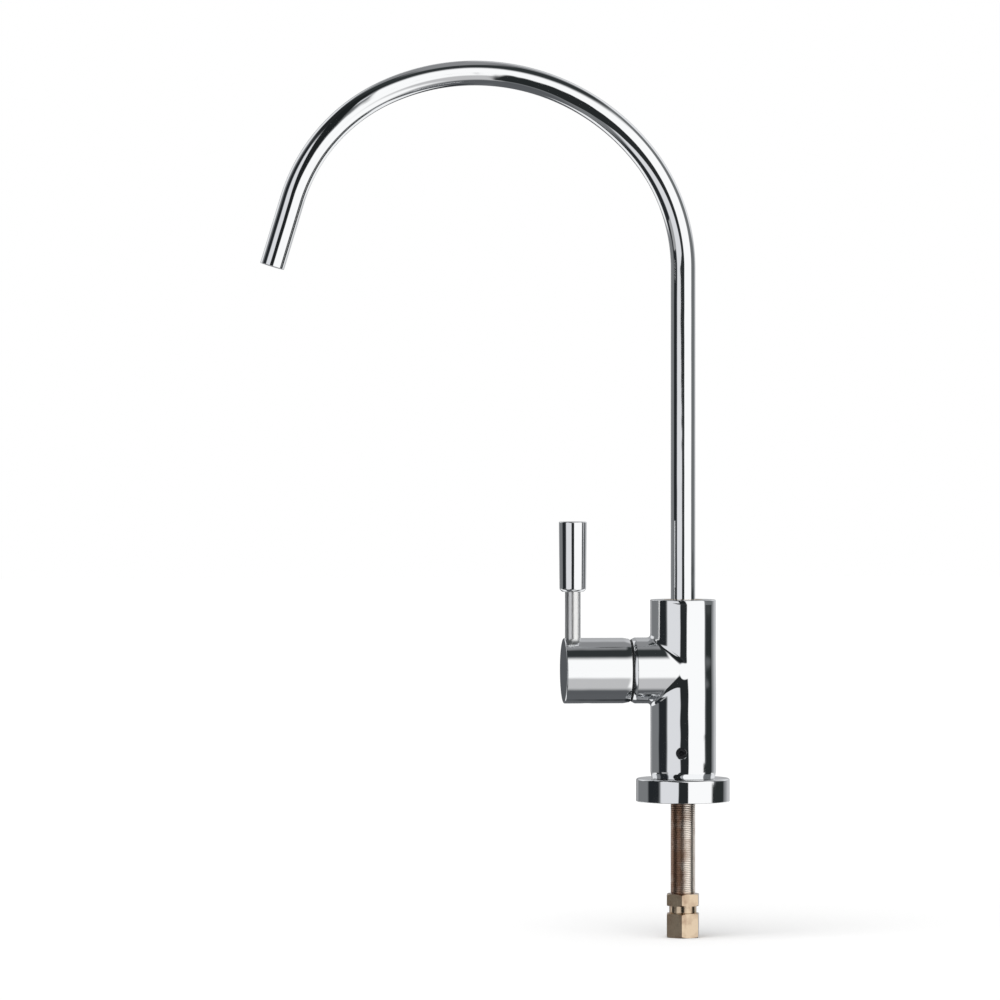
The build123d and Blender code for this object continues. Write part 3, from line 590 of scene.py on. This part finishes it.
def finish_piece(name, bm, body, slot, material, *stands_for, even=True):
    """Makes a smooth object of the mesh, in place of CAD nodes, and lets it ride on its body."""
    piece = bpy.data.objects.new(name, bpy.data.meshes.new(name))
    bm.to_mesh(piece.data)
    bm.free()
    piece.data.shade_smooth()
    piece.data.materials.append(material)
    bpy.context.collection.objects.link(piece)
    if even:
        piece.modifiers.new("even_normals", "WEIGHTED_NORMAL").weight = FACE_WEIGHT
    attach(piece, body)
    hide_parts(*stands_for)
    print(name, sum(len(face.vertices) - 2 for face in piece.data.polygons), "triangles")
    return piece


# %% [markdown]
# ## Body
#
# The real body is one brass casting in the shape of a T, turned and polished until the two
# cylinders melt into each other. Their sizes are nearly equal, so at the front the surfaces are
# almost level and no edge is left there. Two turned solids are joined first, with closer rings
# where the skin is going to bend.

# %% Body: two cylinders, joined
BODY_RADIUS, BODY_BASE, BODY_TOP = 13.3, 9.4, 82.0
STUB_RADIUS, STUB_REACH = 13.4, 21.2
RIM_WIDTH, RIM_DROP = 1.3, 0.7
ROUND_STEPS = 192
FINE = 0.4

foot_rings = [BODY_BASE + 0.2 + 0.2 * i for i in range(18)]
low_rings = [13.5 + 0.75 * i for i in range(30)]
joint_rings = [36 + FINE * i for i in range(int(34 / FINE) + 1)]
top_rings = [71 + i for i in range(10)]
rings = foot_rings + low_rings + joint_rings + top_rings
upright = turned([(BODY_BASE, 0), (BODY_BASE, BODY_RADIUS), *[(z, BODY_RADIUS) for z in rings],
                  (BODY_TOP, BODY_RADIUS), (BODY_TOP, 0)], steps=ROUND_STEPS)
soften(upright, 0.4, 4, 60, lambda middle: middle.z > BODY_TOP - 2)

rings = [FINE * i for i in range(1, int(17 / FINE) + 1)]
stub = turned([(0, 0), (0, STUB_RADIUS), *[(reach, STUB_RADIUS) for reach in rings],
               (STUB_REACH - RIM_WIDTH, STUB_RADIUS), (STUB_REACH, STUB_RADIUS - RIM_DROP),
               (STUB_REACH, 0)], VALVE, TOWARDS_HANDLE, ROUND_STEPS)
soften(stub, 0.15, 2, 20, lambda middle: middle.x < -18)
body = combine(upright, stub, "UNION")

# %% [markdown]
# A polishing wheel is never quite even. On the front of the body it has left a shallow rise from
# left to right, a fifth of a millimetre either way at most, which makes the dark stripe wider and
# wavy, as in the photograph. It falls back again round the rear. A second function draws the foot
# in a little, where the body meets the flange.

# %% Body: what the polishing wheel left
import numpy as np

WAVE_HEIGHT, LOWER_HALF, UPPER_HALF = 0.24, 1.65, 0.3
RIPPLE, RIPPLE_LENGTH = 0.1, 2.1
RISES_FROM, RISES_TO, BEHIND = -14, 26, 180
FOOT_DROP = 0.5


def smooth_step(value, low, high):
    """0 below low, 1 above high, and a smooth rise between."""
    t = np.clip((value - low) / (high - low), 0, 1)
    return t * t * (3 - 2 * t)


def polishing_waves(turn, z):
    """How far in mm the wheel left the body high, by the turn from the front in degrees."""
    # the lower part fades out from 44 mm up to 62 mm, and the weaker upper part comes in from 54 mm
    lower_half = smooth_step(-z, -62, -44) * (LOWER_HALF + RIPPLE * np.sin(z / RIPPLE_LENGTH))
    upper_half = UPPER_HALF * smooth_step(z, 54, 72)
    falls_back = smooth_step(turn, RISES_TO, BEHIND) - smooth_step(-turn, -RISES_FROM, BEHIND)
    rise = smooth_step(turn, RISES_FROM, RISES_TO) - 0.5 * falls_back - 0.5
    return WAVE_HEIGHT * (lower_half + upper_half) * rise


def foot_drawn_in(z):
    """How far in mm the body's foot is drawn in, by the height."""
    return FOOT_DROP * smooth_step(-z, -12.4, -9.0)


# %% [markdown]
# One function then describes the whole polished skin, and says how far a point lies outside it.
# The two cylinders are blended with a round that is widest where they meet square, above and below
# the stub, and fades out at the front and the back, where they lie level. Inside the body the stub
# tapers away, so that it doesn't come out on the right.

# %% Body: the blended skin
WIDE_BLEND, LEVEL_BLEND = 1.7, 0.4
PROBE = 0.005


def outside_skin(points):
    """How far points in mm lie outside the blended skin of the body and its stub."""
    x, y, z = points.T
    to_axis = np.maximum(np.hypot(x, y), 1e-6)
    to_valve_axis = np.maximum(np.hypot(y, z - VALVE_HEIGHT), 1e-6)
    polished = polishing_waves(np.degrees(np.arctan2(x, -y)), z) - foot_drawn_in(z)
    from_body = to_axis - BODY_RADIUS - polished
    taper = 0.05 * np.maximum(x + 3, 0) ** 2 + 0.4 * np.maximum(x, 0) ** 2
    from_stub = to_valve_axis - STUB_RADIUS + taper
    level = np.clip(y * y / (to_axis * to_valve_axis), 0, 1)
    width = WIDE_BLEND * np.sqrt(1 - level) + LEVEL_BLEND * level
    shared = np.clip(1 - np.abs(from_body - from_stub) / width, 0, 1)
    return np.minimum(from_body, from_stub) - shared ** 2 * width / 4


def skin_slope(points):
    """The gradient of outside_skin, by small steps each way."""
    slopes = []
    for axis in range(3):
        step_out = np.zeros(3)
        step_out[axis] = PROBE
        ahead, behind = outside_skin(points + step_out), outside_skin(points - step_out)
        slopes.append((ahead - behind) / (2 * PROBE))
    return np.stack(slopes, 1)


# %% [markdown]
# The points of the joint and of the body's whole outside are drawn on to that skin, in a few steps
# along its slope. The top rim and the stub's rim keep the rounding that they were given.

# %% Body: points drawn on to the skin
DRAWING_STEPS = 6
STUB_SKIN_END, JOINT_HALF_HEIGHT, DEEPEST = -17.5, 17, -1.2

body.verts.ensure_lookup_table()
points = np.array([vert.co[:] for vert in body.verts]) / MM
depth = outside_skin(points)
near_valve = (points[:, 0] < 3) & (np.abs(points[:, 2] - VALVE_HEIGHT) < JOINT_HALF_HEIGHT)
joint = near_valve & (depth < 0) & (depth > DEEPEST)
outside = np.hypot(points[:, 0], points[:, 1]) > BODY_RADIUS - 0.1
drawn = (joint | (outside & (points[:, 2] < BODY_TOP - 1))) & (points[:, 0] > STUB_SKIN_END)
for _ in range(DRAWING_STEPS):
    slope = skin_slope(points)
    steepness = np.maximum((slope ** 2).sum(1), 0.05)
    move = -outside_skin(points)[:, None] * slope / steepness[:, None]
    points[drawn] += move[drawn]
for vert, point in zip(body.verts, points):
    vert.co = Vector(point) * MM
print(int(drawn.sum()), "points drawn on to the skin, out by", round(float(-depth[drawn].min()), 2),
      "mm and in by", round(float(depth[drawn].max()), 2), "mm at most")

# %% [markdown]
# The body is drilled as the real one is: the shank's hole and the waterway from below, the valve's
# chamber from the side, the spout's socket from above, a small outlet between the two, and a tapped
# hole for a grub screw at the front and at the back. The front hole has a wide countersink.

# %% Body: bores
FRONT_SCREW, BACK_SCREW = (20.0, -10.5, 0.7), (76.4, 180, 0.15)  # height, turn and flare


def screw_hole(height, turn, flare):
    """A drill for a grub screw's hole, with a countersink at the body's surface."""
    way = Matrix.Rotation(radians(turn), 3, "Z") @ Vector((0, -1, 0))
    return turned([(6, 0), (6, 2), (BODY_RADIUS - flare, 2), (BODY_RADIUS + 1, 3 + flare),
                   (BODY_RADIUS + 1, 0)], UP * height, way, 48)


shank_hole = turned([(8, 0), (8, 5.35), (BODY_BASE, 5.35), (BODY_BASE + 0.35, 5), (26.4, 5),
                     (26.4, 3), (56.2, 3), (56.2, 0)])
spout_socket = turned([(63.5, 0), (63.5, 7), (66.5, 7), (66.5, 8), (BODY_TOP - 0.2, 8),
                       (BODY_TOP, 8.2), (BODY_TOP + 1, 8.2), (BODY_TOP + 1, 0)])
valve_chamber = turned([(-0.5, 0), (-0.5, 2.9), (4, 2.9), (4, 8), (13.82, 8), (13.82, 9),
                        (STUB_REACH - 0.2, 9), (STUB_REACH, 9.2), (22, 9.2), (22, 0)],
                       VALVE, TOWARDS_HANDLE)
outlet = turned([(60.2, 0), (60.2, 2), (64, 2), (64, 0)], Vector((-4.6, 0, 0)), steps=32)
for drill in (shank_hole, spout_socket, valve_chamber, outlet, screw_hole(*FRONT_SCREW),
              screw_hole(*BACK_SCREW)):
    body = combine(body, drill)

body_piece = finish_piece("body_shell", body, "root", "chrome_plate", chrome, "body_casting",
                          even=False)

# %% [markdown]
# Wherever a face lies on the blended skin, its corners take that surface's own direction, so
# reflections run across the joint without a kink. All other corners, in the bores and on the rims,
# keep the direction that Blender finds, with sharp edges kept.

# %% Body: exact normals
SHARP_EDGE, ON_SKIN, FACES_ALONG = 35, 0.004, 0.85

mesh = body_piece.data
mesh.set_sharp_from_angle(angle=radians(SHARP_EDGE))
points = np.array([vert.co[:] for vert in mesh.vertices]) / MM
on_skin = np.abs(outside_skin(points)) < ON_SKIN
skin_normals = skin_slope(points)
skin_normals /= np.maximum(np.linalg.norm(skin_normals, axis=1), 1e-9)[:, None]
corner_normals = np.array([corner.vector[:] for corner in mesh.corner_normals])
corner_vertex = np.array([loop.vertex_index for loop in mesh.loops])
corner_face = np.zeros((len(mesh.loops), 3))
for face in mesh.polygons:
    corner_face[face.loop_start:face.loop_start + face.loop_total] = face.normal
agrees = (corner_face * skin_normals[corner_vertex]).sum(1) > FACES_ALONG
use_skin = on_skin[corner_vertex] & agrees
corner_normals[use_skin] = skin_normals[corner_vertex][use_skin]
mesh.normals_split_custom_set(corner_normals.tolist())
print(int(use_skin.sum()), "of", len(mesh.loops), "corners lie on the skin")

# %% [markdown]
# ## Flange
#
# A separate disc, turned and chromed, that spreads the load on the worktop and hides the hole. It
# is recessed underneath for its rubber gasket.

# %% Flange
FLANGE_RADIUS, GASKET_RADIUS, GASKET_RECESS, SHANK_CLEARANCE = 19, 16.8, 3.0, 5.2
flange = turned([(GASKET_RECESS, SHANK_CLEARANCE), (GASKET_RECESS, GASKET_RADIUS),
                 (0, GASKET_RADIUS), (0, FLANGE_RADIUS), (BODY_BASE, FLANGE_RADIUS),
                 (BODY_BASE, SHANK_CLEARANCE)])
soften(flange, 0.8, 5, 60, lambda middle: middle.z > 9 and middle.xy.length > 15)
soften(flange, 0.25, 2, 60, lambda middle: middle.z < 1)
finish_piece("flange_disc", flange, "root", "chrome_plate", chrome, "base_flange")

# %% [markdown]
# ## Threaded shank
#
# A hollow stud with a thread along its free length, so that a backnut can clamp any thickness of
# worktop. The thread is a real helix: the profile of its crest and groove is carried up round the
# axis for one turn, which is copied upwards. It is fine and shallow with broad crests, because the
# photograph hardly shows it and a worn rolled thread looks so.

# %% Shank: the helix
PITCH, DEPTH = 0.75, 0.17
CREST_END, ROOT_START, ROOT_END = 0.62, 0.76, 0.86  # as parts of the pitch
STEPS, TURNS, THREAD_START = 40, 56, -39
ROOT = SHANK_RADIUS - DEPTH

bm = bmesh.new()
thread = [(0, SHANK_RADIUS), (PITCH * CREST_END, SHANK_RADIUS), (PITCH * ROOT_START, ROOT),
          (PITCH * ROOT_END, ROOT), (PITCH, SHANK_RADIUS)]
line = [bm.verts.new(Vector((radius, 0, height + THREAD_START)) * MM) for height, radius in thread]
for pair in zip(line, line[1:]):
    bm.edges.new(pair)
bmesh.ops.spin(bm, geom=bm.verts[:] + bm.edges[:], cent=(0, 0, 0), axis=UP,
               dvec=UP * PITCH / STEPS * MM, angle=2 * pi, steps=STEPS)
one_turn = bm.verts[:] + bm.edges[:] + bm.faces[:]
for turn in range(1, TURNS):
    copy = bmesh.ops.duplicate(bm, geom=one_turn)["geom"]
    bmesh.ops.translate(bm, verts=[item for item in copy if isinstance(item, bmesh.types.BMVert)],
                        vec=UP * PITCH * turn * MM)
bmesh.ops.remove_doubles(bm, verts=bm.verts, dist=2 * MERGE * MM)

# %% [markdown]
# The rod is cut square at both ends and closed. It is then bored and chamfered by crossing it with
# a thick tube, and joined to the plain end that sits in the body.

# %% Shank: ends, bore and chamfer
for height, up in ((SHANK_FOOT - 0.4, -1), (2, 1)):
    bmesh.ops.bisect_plane(bm, geom=bm.verts[:] + bm.edges[:] + bm.faces[:],
                           plane_co=UP * height * MM, plane_no=UP * up, clear_outer=True)
    bmesh.ops.edgeloop_fill(bm, edges=[edge for edge in bm.edges if edge.is_boundary
                                       and abs(edge.verts[0].co.z / MM - height) < 0.01])
bmesh.ops.recalc_face_normals(bm, faces=bm.faces)
bored = turned([(3, 3), (3, 5.3), (SHANK_FOOT + 0.8, 5.3), (SHANK_FOOT, 4.5), (SHANK_FOOT, 4),
                (-31.1, 4), (-31.1, 3)])
plain_end = turned([(1.5, 3), (1.5, 4.95), (25.2, 4.95), (25.2, 3.8), (26.4, 3.8), (26.4, 3)])
shank = combine(combine(bm, bored, "INTERSECT"), plain_end, "UNION")
finish_piece("shank_stud", shank, "root", "nickel_brass", turned_nickel, "threaded_shank")

# %% [markdown]
# ## Hexagons
#
# Hexagon bar is turned to length, and the tool leaves a cone on each corner. Crossing a hexagon
# with a turned solid gives exactly those curved corner lines.

# %% Helper: hexagon bar with turned ends
FLATS, CORNER_AT = 12.7, 139.0  # mm across the flats, and the turn of a corner in degrees
CORNER = FLATS / 3 ** 0.5
CONE_IN, CONE_DOWN = 0.8, 0.5


def hexagon(low, high):
    """A piece of hexagon bar between two heights, with its corners turned off at both ends."""
    bm = bmesh.new()
    middle = Matrix.Translation(UP * (low + high) / 2 * MM)
    place = middle @ Matrix.Rotation(radians(CORNER_AT - 90), 4, "Z")
    bmesh.ops.create_cone(bm, cap_ends=True, segments=6, radius1=CORNER * MM, radius2=CORNER * MM,
                          depth=(high - low) * MM, matrix=place)
    return combine(bm, turned([(low, 0), (low, CORNER - CONE_IN), (low + CONE_DOWN, CORNER),
                               (high - CONE_DOWN, CORNER), (high, CORNER - CONE_IN), (high, 0)]),
                   "INTERSECT")


# %% [markdown]
# The inlet connector screws into the shank. It has a hexagon collar for the spanner, a spigot above
# it with a seal, and a threaded neck below it that ends in a seat for the squeezed ring. The
# compression nut runs on that neck, and the supply tube comes up through it.

# %% Inlet connector and compression nut
COLLAR_FOOT, NUT_TOP, NUT_FOOT = -42.5, -45.5, -55.3
neck = turned([(-50.5, 0), (-50.5, 5.2), (-50.1, 5.55), (-40, 5.55), (-40, 0)])
spigot = turned([(-40, 0), (-40, 4), (-31.9, 4), (-31.6, 3.7), (-31.6, 0)])
waterway = turned([(-52, 0), (-52, 5.8), (-50.5, 4.3), (-49.5, 3.3), (-45.0, 3.3), (-45.0, 2.4),
                   (-31, 2.4), (-31, 0)])
connector = combine(combine(hexagon(COLLAR_FOOT, SHANK_FOOT), neck, "UNION"), spigot, "UNION")
connector = combine(connector, waterway)
soften(connector, 0.15, 2, 25, lambda middle: middle.xy.length > 5.6)
finish_piece("connector_body", connector, "root", "nickel_brass", turned_nickel, "inlet_connector")

tapped = turned([(-56, 0), (-56, 3.6), (NUT_FOOT, 3.6), (-55.0, 3.3), (-52.9, 3.3), (-51.9, 4.3),
                 (-51.9, 5.55), (-45.8, 5.55), (NUT_TOP, 5.85), (-45, 5.85), (-45, 0)])
nut = combine(hexagon(NUT_FOOT, NUT_TOP), tapped)
soften(nut, 0.2, 2, 25, lambda middle: middle.xy.length > 5.9)
finish_piece("nut_body", nut, "root", "nickel_brass", turned_nickel, "compression_nut")

# %% [markdown]
# ## Handle
#
# The cap is a deep cup turned from bar, with a blind hole for the spindle in its thick end. A long,
# slight bevel towards the seam shows as a bright ring there. The lever's stem is let into it from
# above, and a grub screw from below.

# %% Handle cap
CAP_START, CAP_END, CAP_RADIUS, CAP_BORE = 22.2, 48.9, 13.3, 11.8
BEVEL_LENGTH, BEVEL_DROP = 2.6, 0.45
LEVER_REACH, SCREW_REACH = 45.1, 39.55
LEVER = VALVE + TOWARDS_HANDLE * LEVER_REACH
SCREW = VALVE + TOWARDS_HANDLE * SCREW_REACH
cap = turned([(CAP_START, CAP_BORE), (CAP_START, CAP_RADIUS - BEVEL_DROP),
              (CAP_START + BEVEL_LENGTH, CAP_RADIUS), (CAP_END, CAP_RADIUS), (CAP_END, 0),
              (43.55, 0), (43.55, 4.05), (36.05, 4.05), (36.05, CAP_BORE)],
             VALVE, TOWARDS_HANDLE, 160)
soften(cap, 0.5, 4, 60, lambda middle: middle.x < -48 and (middle - VALVE).yz.length > 12)
soften(cap, 0.12, 2, 10, lambda middle: middle.x > -25)
lever_hole = turned([(6.2, 0), (6.2, 2.5), (12.3, 2.5), (12.3, 3.24), (14, 3.24), (14, 0)],
                    LEVER, UP, 64)
cap_screw_hole = turned([(4, 0), (4, 2), (12.9, 2), (13.6, 2.6), (14, 2.6), (14, 0)],
                        SCREW, -UP, 48)
cap = combine(combine(cap, lever_hole), cap_screw_hole)
soften(cap, 0.12, 2, 40, lambda middle: middle.z > 65 and middle.x < -40)
finish_piece("cap_shell", cap, "handle", "chrome_plate", chrome, "handle_cap")

# %% [markdown]
# Stem and grip are plain turned bars, screwed together. The grip is a little wider at its top, so
# that the fingers don't slip off.

# %% Lever stem and grip
STEM_RADIUS, STUD_RADIUS, GRIP_FOOT, GRIP_TOP = 3.2, 2.5, 32.1, 60.5
stem = turned([(6.8, 0), (6.8, STUD_RADIUS), (12.3, STUD_RADIUS), (12.3, STEM_RADIUS),
               (GRIP_FOOT, STEM_RADIUS), (GRIP_FOOT, STUD_RADIUS), (40.1, STUD_RADIUS), (40.1, 0)],
              LEVER, UP, 64)
soften(stem, 0.15, 2, 60)
finish_piece("stem_rod", stem, "handle", "chrome_plate", satin_chrome, "lever_stem")

grip = turned([(GRIP_FOOT, STUD_RADIUS), (GRIP_FOOT, 4.4), (33.1, 5.4), (GRIP_TOP, 5.65),
               (GRIP_TOP, 0), (40.7, 0), (40.7, STUD_RADIUS)], LEVER, UP, 96)
soften(grip, 0.45, 4, 80, lambda middle: middle.z > 110)
soften(grip, 0.25, 3, 30, lambda middle: middle.z < 90)
finish_piece("grip_barrel", grip, "handle", "chrome_plate", chrome, "lever_grip")

# %% [markdown]
# ## Spout
#
# One thin brass tube, bent over formers in three steps: a wide bend up from the body, a wider one
# over the crown and a tighter one down to the outlet. Each skin is a ring of points that is drawn
# straight and then swung round the centre of each bend, as the bending machine does it.

# %% Helper: bending a tube
BENDS = [(73.8, 39.5), (87.6, 74.9), (70.6, 48.7)]  # radius in mm and angle in degrees
TUBE_FOOT, RISE_END, TIP = 70.0, 216.4, 28.0
RUNS = (RISE_END - TUBE_FOOT, 0, 0, TIP)
BEND_STEP = 1.5


def bent_skin(tube, radius):
    """Adds one skin of the tube, and returns its first and last edges, its tip and heading."""
    ring = bmesh.ops.create_circle(tube, segments=72, radius=radius * MM)["verts"]
    bmesh.ops.translate(tube, verts=ring, vec=UP * TUBE_FOOT * MM)
    first = edges = list({edge for vert in ring for edge in vert.link_edges})
    place, heading = UP * TUBE_FOOT, UP.copy()
    for run, (bend, angle) in zip(RUNS, BENDS + [(0, 0)]):
        if run:
            new = bmesh.ops.extrude_edge_only(tube, edges=edges)["geom"]
            edges = [item for item in new if isinstance(item, bmesh.types.BMEdge)]
            verts = [item for item in new if isinstance(item, bmesh.types.BMVert)]
            bmesh.ops.translate(tube, verts=verts, vec=heading * run * MM)
            place = place + heading * run
        if bend:
            centre = place + heading.cross(Vector((0, 1, 0))) * bend
            turn = Matrix.Rotation(radians(-angle), 3, "Y")
            swung = edges + list({vert for edge in edges for vert in edge.verts})
            new = bmesh.ops.spin(tube, geom=swung, cent=centre * MM, axis=(0, 1, 0),
                                 angle=radians(-angle), steps=round(angle / BEND_STEP))["geom_last"]
            edges = [item for item in new if isinstance(item, bmesh.types.BMEdge)]
            place, heading = centre + turn @ (place - centre), turn @ heading
    return first, edges, place, heading


# %% [markdown]
# At both ends the inner and the outer skin are bridged, and the cut edge is rounded as a deburring
# tool leaves it.

# %% Spout tube
TUBE_RADIUS, TUBE_BORE = 5.0, 4.0
tube = bmesh.new()
outer_foot, outer_tip, place, heading = bent_skin(tube, TUBE_RADIUS)
inner_foot, inner_tip, place, heading = bent_skin(tube, TUBE_BORE)
for outer_end, inner_end in ((outer_foot, inner_foot), (outer_tip, inner_tip)):
    bmesh.ops.bridge_loops(tube, edges=outer_end + inner_end)
bmesh.ops.recalc_face_normals(tube, faces=tube.faces)
soften(tube, 0.2, 3, 60)
print("tip at", [round(v, 2) for v in place], "heading", [round(v, 3) for v in heading])
finish_piece("tube_skin", tube, "spout", "chrome_plate", chrome, "spout_tube")
